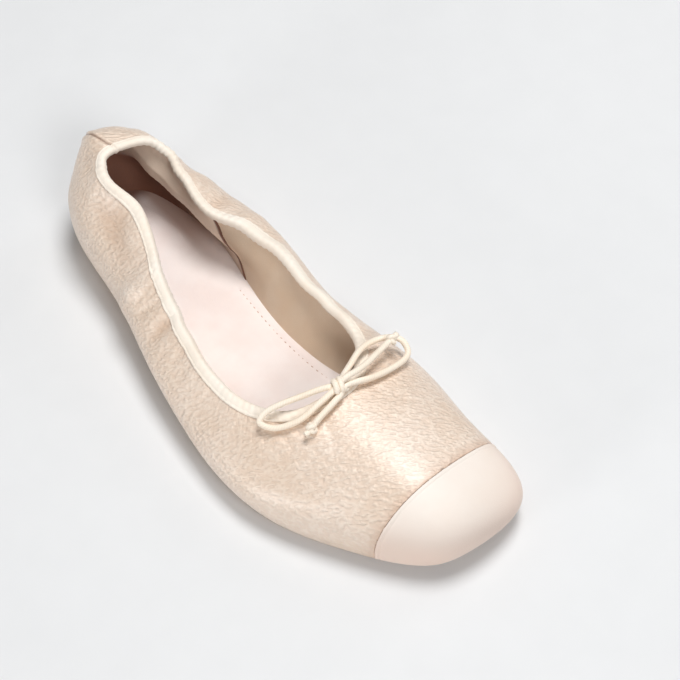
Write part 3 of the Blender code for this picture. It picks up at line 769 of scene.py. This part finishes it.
# %% Stitch rows
def stitch_row(line, normals, pitch, long, wide, high, sink=0.1):
    """Beads along a line, set in by sink. line and normals are lists of places and directions."""
    along = np.concatenate([[0], np.cumsum(size_of(np.diff(line, axis=0)))])
    count = int(along[-1] / pitch)
    mesh = bmesh.new()
    for at in (np.arange(count) + 0.5) * along[-1] / count:
        spot, ahead, out = [np.array([np.interp(at, along, v[:, k]) for k in range(3)])
                            for v in (line, np.gradient(line, axis=0), normals)]
        ahead = unit(ahead)
        out = unit(out - ahead * (out @ ahead))
        turned = Matrix((ahead * long / 2, np.cross(out, ahead) * wide / 2, out * high / 2)).transposed()
        place = Matrix.Translation((spot - out * sink) * MM) @ turned.to_4x4()
        bead = bmesh.ops.create_uvsphere(mesh, u_segments=6, v_segments=4, radius=MM)["verts"]
        bmesh.ops.transform(mesh, matrix=place, verts=bead)
    return mesh


upright = np.broadcast_to(UP, stitch_line.shape)
sock_row = stitch_row(stitch_line - UP * 0.18, upright, pitch=2.6, long=1.5, wide=0.55, high=0.5)
sock_stitches = finish(sock_row, "sock_stitches", "blush_insole")

GROOVE_DOWN, GROOVE_OFF = 0.71, 0.66        # the tape's groove: share of its reach, off the leather
round_turns = np.linspace(0, COUNT, 721)
groove_up = below_collar(round_turns, GROOVE_DOWN * BINDING_DEEP(round_turns))
groove_line, groove_normals = skin(round_turns, groove_up, -GROOVE_OFF), wall_frame(round_turns, groove_up)[0]
tape_row = stitch_row(groove_line, groove_normals, pitch=2.3, long=1.5, wide=0.36, high=0.34)
tape_stitches = finish(tape_row, "tape_stitches", "cream_binding")

# %% [markdown]
# ## Outsole
# The sole is thin, with a low heel in one piece. The same slab makes it, with its own rim: a short table
# says how high each line of the rim is, as a share of the sole's thickness, and how far it is rounded in.
# It stands on the floor under the heel and the ball, and lifts at the waist and the toe.

# %% Outsole
OUTSOLE_IN, GAP = 1.5, 0.3
OUTSOLE_EDGE = [(0.35, 1), (0.05, 0.93), (0, 0.75), (0, 0.45), (0.12, 0.2), (0.5, 0.06), (1, 0)]


def outsole_rim(turns):
    lines = []
    for inset, share in OUTSOLE_EDGE:
        line = foot_line(turns, OUTSOLE_IN + inset)
        top, low = line[..., 2] - GAP, sole_level(line[..., 1], SOLE_UNDER)
        line[..., 2] = low + (top - low) * share
        lines.append(line)
    return np.stack(lines, 1)


mesh = slab(outsole_rim, 24, lambda face: sole_level(face[..., 1], SOLE_TOP) - GAP,
            lambda face: sole_level(face[..., 1], SOLE_UNDER))
sole = finish(mesh, "sole", "tan_outsole", "outsole")

# %% [markdown]
# ## Finishes
# Each finish is one Principled shader. What changes over a surface, such as grain, mottle, weave or wear,
# comes from node groups that are built once and placed in each material with its own numbers. Grain is
# read from Object coordinates, so it never stretches. Weave, twist and gathered grain read the UV map,
# because they must follow the sheet.

# %% Node helpers
def paint(red, green, blue):
    """A screen colour of 0 to 255 as the light values that a shader needs."""
    parts = np.array([red, green, blue]) / 255
    return (*np.where(parts <= 0.04045, parts / 12.92, ((parts + 0.055) / 1.055) ** 2.4), 1)


def feed(tree, sockets, inputs):
    """Give each input a number, a colour or another node's socket."""
    for name, value in inputs.items():
        if isinstance(value, bpy.types.NodeSocket):
            tree.links.new(value, sockets[name])
        else:
            sockets[name].default_value = value


def add(tree, kind, inputs=(), **settings):
    """A node with its settings and its inputs."""
    made = tree.nodes.new("ShaderNode" + kind)
    for name, value in settings.items():
        setattr(made, name, value)
    feed(tree, made.inputs, dict(inputs))
    return made


def math_node(tree, operation, a, b=0.0, clamp=False):
    return add(tree, "Math", {0: a, 1: b}, operation=operation, use_clamp=clamp).outputs[0]


def times(tree, a, b):
    return math_node(tree, "MULTIPLY", a, b)


def vector_node(tree, operation, a, b):
    inputs = {0: a, "Scale" if operation == "SCALE" else 1: b}
    return add(tree, "VectorMath", inputs, operation=operation).outputs[0]


def sides_of(tree, place):
    """The X, Y and Z of a place."""
    return add(tree, "SeparateXYZ", {0: place}).outputs


def noise(tree, place, scale, detail):
    return add(tree, "TexNoise", {"Vector": place, "Scale": scale, "Detail": detail}).outputs


def mix_colour(tree, share, *pair):
    """Share 0 gives the first of a pair and 1 the second; each is a socket or a screen colour."""
    first, second = (colour if isinstance(colour, bpy.types.NodeSocket) else paint(*colour)
                     for colour in pair)
    return add(tree, "Mix", {0: share, 6: first, 7: second}, data_type="RGBA").outputs[2]


def ramp(tree, value, low, high, start=0.0, end=1.0):
    """A number eased from start to end as value goes from low to high."""
    limits = {0: value, 1: low, 2: high, 3: start, 4: end}
    return add(tree, "MapRange", limits, interpolation_type="SMOOTHSTEP").outputs[0]


def new_group(name, inputs, *outputs):
    """A shader group that reads a place and its own numbers, with the names of what it puts out."""
    tree = bpy.data.node_groups.new(name, "ShaderNodeTree")
    tree.interface.new_socket(name="Place", in_out="INPUT", socket_type="NodeSocketVector")
    for label, value in inputs.items():
        made = tree.interface.new_socket(name=label, in_out="INPUT", socket_type="NodeSocketFloat")
        made.default_value = value
    for label in outputs:
        tree.interface.new_socket(name=label, in_out="OUTPUT", socket_type="NodeSocketFloat")
    print("made group", name)
    return tree, tree.nodes.new("NodeGroupInput").outputs, tree.nodes.new("NodeGroupOutput").inputs


# %% [markdown]
# **Pebbled grain.** Real grain is small soft pads, and long ripples where the skin has stretched. A Voronoi
# pattern's distance to the middle of each cell gives round pads, and a little noise in its coordinates
# breaks up their rows. The ripples are another noise, read through a Mapping node that makes it narrow in
# one direction and turns it across the shoe. The creases are the low places between them.

# %% Group: pebbled grain
pebble, given, out = new_group("pebbled grain", {"Pads per metre": 800.0, "Wander": 0.0005},
                               "Height", "Crease", "Mottle")
wander = noise(pebble, given["Place"], 300.0, 1.0)["Color"]
shift = vector_node(pebble, "SUBTRACT", wander, (0.5, 0.5, 0.5))
shift = vector_node(pebble, "SCALE", shift, given["Wander"])
place = vector_node(pebble, "ADD", given["Place"], shift)
cells = add(pebble, "TexVoronoi", {"Vector": place, "Scale": given["Pads per metre"], "Smoothness": 0.6},
            feature="SMOOTH_F1")
RIPPLE_SLANT, RIPPLE_SIZE = -0.72, (0.0027, 0.00105, 0.0016)
across = add(pebble, "Mapping", {0: given["Place"], 2: (0, 0, RIPPLE_SLANT), 3: RIPPLE_SIZE},
             vector_type="TEXTURE").outputs[0]
ripples = ramp(pebble, noise(pebble, across, 1.0, 0.5)["Fac"], 0.25, 0.75)
pads = ramp(pebble, cells.outputs["Distance"], 0.75, 0.05)
height = math_node(pebble, "ADD", times(pebble, pads, 0.6), times(pebble, ripples, 1.2))
feed(pebble, out, {"Height": height, "Crease": ramp(pebble, height, 1.25, 0.5),
                   "Mottle": noise(pebble, given["Place"], 45.0, 3.0)["Fac"]})

# %% [markdown]
# **Drawn grain.** Beside the tape the leather is pulled towards the collar, so its pads are long and
# narrow. A Voronoi pattern is read from the UV map, drawn out up the wall, and its distance to the edge of
# each cell gives a net of long creases.

# %% Group: drawn grain
drawn, given, out = new_group("drawn grain", {"Lines per metre": 800.0}, "Height")
squeezed = vector_node(drawn, "MULTIPLY", given["Place"], (1.0, 0.3, 1.0))
bend = vector_node(drawn, "SCALE", noise(drawn, given["Place"], 150.0, 2.0)["Color"], 0.002)
place = vector_node(drawn, "ADD", squeezed, bend)
cells = add(drawn, "TexVoronoi", {"Vector": place, "Scale": given["Lines per metre"]},
            feature="DISTANCE_TO_EDGE")
feed(drawn, out, {"Height": ramp(drawn, cells.outputs["Distance"], 0.0, 0.3)})

# %% [markdown]
# **Fine skin.** Smooth leather and suede still have pores and a soft cloudiness. A fine Voronoi pattern
# and a fine noise add up to the pores, and a broad noise is the cloud.

# %% Group: fine skin
pored, given, out = new_group("fine skin", {"Pores per metre": 3000.0}, "Height", "Cloud")
pores = add(pored, "TexVoronoi", {"Vector": given["Place"], "Scale": given["Pores per metre"]},
            feature="SMOOTH_F1")
pits = noise(pored, given["Place"], 900.0, 5.0)["Fac"]
feed(pored, out, {"Height": math_node(pored, "ADD", pores.outputs["Distance"], pits),
                  "Cloud": noise(pored, given["Place"], 60.0, 3.0)["Fac"]})

# %% [markdown]
# **Plain weave.** Two sets of threads cross, over and under. Each set is a sine wave across the cloth, and
# the product of the two waves says which one is on top.

# %% Group: plain weave
weave, given, out = new_group("plain weave", {"Threads per metre": 2500.0}, "Height", "Hollow")
sides = sides_of(weave, given["Place"])
threads = times(weave, given["Threads per metre"], math.pi)
waves = [math_node(weave, "SINE", times(weave, sides[side], threads)) for side in ("X", "Y")]
height = math_node(weave, "ABSOLUTE", times(weave, *waves))
feed(weave, out, {"Height": height, "Hollow": math_node(weave, "SUBTRACT", 1.0, height, clamp=True)})

# %% [markdown]
# **Twisted strands.** A cord's strands run round it as a helix. On the UV map they are slanting stripes, so
# one sine wave of a slanting sum of the two sides draws them.

# %% Group: twisted strands
twist, given, out = new_group("twisted strands", {"Strands per metre": 700.0}, "Height", "Groove")
sides = sides_of(twist, given["Place"])
slant = math_node(twist, "ADD", times(twist, sides["X"], 0.55), sides["Y"])
wave = math_node(twist, "SINE", times(twist, times(twist, slant, given["Strands per metre"]), math.pi))
height = math_node(twist, "ABSOLUTE", wave)
feed(twist, out, {"Height": height, "Groove": ramp(twist, height, 0.45, 0.0)})


# %% Material helpers
def spaced(values):
    """The same values under their sockets' names: Sheen_Weight stands for Sheen Weight."""
    return {label.replace("_", " "): value for label, value in values.items()}


def new_material(name, roughness, **values):
    """A Principled material; the values that are the same all over are set on its own sockets."""
    made = bpy.data.materials.new(name)
    made.use_nodes = True
    tree = made.node_tree
    sockets = tree.nodes["Principled BSDF"].inputs
    feed(tree, sockets, {"Roughness": roughness, "Sheen Roughness": 0.4, "Coat Roughness": 0.2,
                         **spaced(values)})
    return made, tree, sockets, tree.nodes.new("ShaderNodeTexCoord").outputs


def place_group(tree, group, place, **numbers):
    """A group read at a place, with its own numbers."""
    return add(tree, "Group", {"Place": place, **spaced(numbers)}, node_tree=group).outputs


def cloudy(tree, spots, pores, *pair):
    """Fine skin with its pores per metre, and a colour that drifts softly between a pair."""
    fine = place_group(tree, pored, spots["Object"], Pores_per_metre=pores)
    return fine, mix_colour(tree, ramp(tree, fine["Cloud"], 0.3, 0.7), *pair)


def mark(tree, name):
    return add(tree, "Attribute", attribute_name=name, attribute_type="GEOMETRY").outputs["Fac"]


def dress(made, colour, pieces, height=None, distance=0.0, strength=1.0):
    """Link the colour and the relief of a material, and put it on its pieces."""
    tree, links = made.node_tree, {"Base Color": colour}
    if height:
        raised = add(tree, "Bump", {"Height": height, "Distance": distance, "Strength": strength})
        links["Normal"] = raised.outputs[0]
    feed(tree, tree.nodes["Principled BSDF"].inputs, links)
    for piece in pieces:
        piece.data.materials.append(made)
    print(made.name, "on", ", ".join(piece.name for piece in pieces))


# %% [markdown]
# ** Champagne leather** is pale pink-beige with a pearl finish: the pads shine almost white, and the creases
# and hollows are painted warm tan as shade. The gloss is a wide coat over a dull ground. Tints lie over the
# body colour one after the other: painted shade in hollows, a painted highlight on ridges, painted shade in
# creases and before the cap, and a dark line at the seam.

# %% Champagne leather
champagne, tree, sockets, spots = new_material("champagne leather", 0.52, Metallic=0.1, Sheen_Weight=0.15,
                                               Coat_Weight=0.7, Coat_Roughness=0.42, Coat_IOR=1.8)
grain = place_group(tree, pebble, spots["Object"], Pads_per_metre=720.0, Wander=0.0008)
lines = place_group(tree, drawn, spots["UV"], Lines_per_metre=480.0)
# how far back from the cap seam the painted shade on the leather reaches, mm
CAP_SHADE_REACH = 4.5
gathered, hollow = times(tree, mark(tree, "gather"), 0.5), mark(tree, "hollow")
height = add(tree, "Mix", {0: gathered, 2: grain["Height"], 3: lines["Height"]}).outputs[0]
body = mix_colour(tree, ramp(tree, grain["Mottle"], 0.35, 0.65), (235, 214, 194), (241, 223, 206))
along = sides_of(tree, spots["Object"])["Y"]
for share, colour in (
        # painted shade: the troughs of the relief are darkened to warm tan
        (ramp(tree, hollow, 0.2, 1.9, 0.0, 0.45), (200, 164, 134)),
        # painted highlight: the ridges of the relief are lightened where they face the light
        (ramp(tree, hollow, -0.7, -2.4, 0.0, 0.35), (252, 243, 233)),
        # painted shade in the creases between the grain's pads
        (times(tree, grain["Crease"], 0.17), (204, 162, 130)),
        # painted shade: a tan band on the leather just behind the cap seam
        (ramp(tree, along, (SEAM_Y - CAP_SHADE_REACH) * MM, SEAM_Y * MM, 0.0, 0.4), (206, 166, 138)),
        (times(tree, mark(tree, "seam"), 0.85), (136, 98, 78))):
    body = mix_colour(tree, share, body, colour)
tree.links.new(ramp(tree, grain["Mottle"], 0.3, 0.7, 0.48, 0.56), sockets["Roughness"])
dress(champagne, body, [upper], height, 0.0004, 0.8)

# %% [markdown]
# ** Nude leather** on the cap is smooth and milky, and pinker and darker low down.

# %% Nude leather
nude, tree, sockets, spots = new_material("nude leather", 0.6, Sheen_Weight=0.25)
fine = place_group(tree, pored, spots["Object"], Pores_per_metre=2600.0)
level = sides_of(tree, spots["Object"])["Z"]
# the cap is pinker and darker towards the bottom
body = mix_colour(tree, ramp(tree, level, 0.012, 0.036), (236, 212, 197), (244, 235, 226))
body = mix_colour(tree, ramp(tree, fine["Cloud"], 0.35, 0.7, 0.0, 0.25), body, (236, 218, 204))
dress(nude, body, [cap], fine["Height"], 0.00006, 0.5)

# %% [markdown]
# ** Tape, cord and lining cloth** are woven or twisted: a cloudy colour, with a darker one painted in the
# hollows between the threads as shade. The tape's inner half is also painted tan round the heel, as shade.

# %% Cream tape
cream, tree, sockets, spots = new_material("cream tape", 0.62, Sheen_Weight=0.35)
cloth = place_group(tree, weave, spots["UV"], Threads_per_metre=2800.0)
fine, body = cloudy(tree, spots, 2200.0, (250, 238, 222), (254, 246, 234))
# painted shade: the tape's inner half round the heel is tan
body = mix_colour(tree, times(tree, mark(tree, "tan"), 0.8), body, (222, 184, 152))
# painted shade in the hollows between the tape's threads
body = mix_colour(tree, times(tree, cloth["Hollow"], 0.16), body, (220, 188, 158))
dress(cream, body, [tape, tape_stitches], cloth["Height"], 0.00005, 0.6)

# %% Cream cord
strand, tree, sockets, spots = new_material("cream cord", 0.58, Sheen_Weight=0.3)
coil = place_group(tree, twist, spots["UV"], Strands_per_metre=900.0)
fine, body = cloudy(tree, spots, 2400.0, (249, 233, 212), (253, 242, 226))
# painted shade in the grooves between the cord's strands
body = mix_colour(tree, times(tree, coil["Groove"], 0.25), body, (220, 184, 148))
dress(strand, body, [cord_out, cord_in, end_in, end_out, knot], coil["Height"], 0.0001, 0.5)

# %% Lining cloth
cotton, tree, sockets, spots = new_material("lining cloth", 0.85, Sheen_Weight=0.2)
cloth = place_group(tree, weave, spots["UV"], Threads_per_metre=1900.0)
fine, body = cloudy(tree, spots, 1500.0, (242, 216, 188), (247, 226, 202))
# painted shade in the hollows between the cloth's threads
body = mix_colour(tree, times(tree, cloth["Hollow"], 0.3), body, (176, 146, 118))
dress(cotton, body, [vamp_lining], cloth["Height"], 0.00012, 0.7)

# %% [markdown]
# ** Brown lining, sock, thread and sole** are cloudy colours with more laid over them: the lining has painted
# light where it is marked and painted shade elsewhere, the sock has painted shade at the heel and a painted
# shadow beside the inner roll, and the sole is scuffed where it stands on the floor.

# %% Lining leather
brown, tree, sockets, spots = new_material("lining leather", 0.55, Sheen_Weight=0.1)
fine = place_group(tree, pored, spots["Object"], Pores_per_metre=2000.0)
# pale where painted light is marked; the dark brown is partly the leather's own colour, partly painted shade
body = mix_colour(tree, mark(tree, "pale"), (122, 80, 62), (250, 230, 210))
body = mix_colour(tree, ramp(tree, fine["Cloud"], 0.35, 0.7, 0.0, 0.15), body, (150, 108, 86))
dress(brown, body, [heel_lining], fine["Height"], 0.00008, 0.6)

# %% Blush sock and its thread
blush, tree, sockets, spots = new_material("blush sock", 0.72, Sheen_Weight=0.3)
fine, body = cloudy(tree, spots, 2300.0, (244, 229, 223), (249, 238, 233))
spot = sides_of(tree, spots["Object"])
# painted shadow of the inner roll, along the sock's inner side at the rear
roll_shadow = times(tree, ramp(tree, spot["X"], -0.0105, -0.0155, 0.0, 0.65), ramp(tree, spot["Y"], 0.034, 0.006))
body = mix_colour(tree, roll_shadow, body, (170, 128, 106))
# painted shade: the sock darkens towards the back of the heel
body = mix_colour(tree, ramp(tree, spot["Y"], -0.014, -0.022, 0.0, 0.95), body, (120, 80, 64))
dress(blush, body, [sock], fine["Height"], 0.00009, 0.6)

thread, tree, sockets, spots = new_material("sock thread", 0.6, Sheen_Weight=0.2)
fine, body = cloudy(tree, spots, 3500.0, (202, 168, 150), (214, 184, 168))
dress(thread, body, [sock_stitches])

# %% Sole rubber
rubber, tree, sockets, spots = new_material("sole rubber", 0.6)
fine, body = cloudy(tree, spots, 1300.0, (196, 160, 130), (210, 176, 146))
level = sides_of(tree, spots["Object"])["Z"]
scuffed = times(tree, ramp(tree, level, 0.0012, 0.0), ramp(tree, fine["Cloud"], 0.4, 0.6))
body = mix_colour(tree, scuffed, body, (150, 122, 100))
dress(rubber, body, [sole], fine["Height"], 0.0002, 0.6)

# %% [markdown]
# ## Floor and light
# The floor is plain and nearly white. The key lamp hangs high, a little to the inner side, and is strong, so
# the shoe drops a soft shadow towards its outer side. Four weaker lamps stand round it: the one in front
# gives the pearl its shine before the cap, the two at the sides lift the walls, and the one behind lifts
# the heel. A weak white sky keeps the inside from going black. Every lamp is a wide disk, so no edge of a
# shadow is sharp.

# %% Floor
FLOOR_HALF = 3.0
mesh = bmesh.new()
bmesh.ops.create_grid(mesh, x_segments=1, y_segments=1, size=FLOOR_HALF)
floor = new_object(mesh, "floor")
paper, tree, sockets, spots = new_material("white paper", 0.9)
fine = place_group(tree, pored, spots["Object"], Pores_per_metre=300.0)
dress(paper, mix_colour(tree, fine["Cloud"], (227, 228, 229), (231, 232, 233)), [floor])

# %% Sky and lamps
sky = bpy.data.worlds.new("sky")
sky.use_nodes = True
feed(sky.node_tree, sky.node_tree.nodes["Background"].inputs, {"Color": (1, 1, 1, 1), "Strength": 0.10})
scene = bpy.context.scene
scene.world = sky
scene.view_settings.view_transform = "Standard"


def soft_lamp(name, place, size, power, target=(0, 0.09, 0)):
    lamp = bpy.data.objects.new(name, bpy.data.lights.new(name, "AREA"))
    lamp.data.shape = "DISK"
    lamp.data.size, lamp.data.energy = size, power
    lamp.location = place
    lamp.rotation_euler = (Vector(target) - Vector(place)).to_track_quat("-Z", "Y").to_euler()
    scene.collection.objects.link(lamp)
    print(f"{name} lamp: {power} W")


soft_lamp("key", (-0.29, 0.0, 1.2), 0.46, 10.2)
soft_lamp("inner side", (-1.0, 0.1, 0.7), 0.5, 1.4)
soft_lamp("outer side", (1.05, 0.12, 0.23), 0.36, 3.6, (0, 0.08, 0))
soft_lamp("front", (0.2, 0.95, 0.9), 0.5, 5.0)
soft_lamp("behind", (0, -0.85, 0.9), 0.5, 0.7)
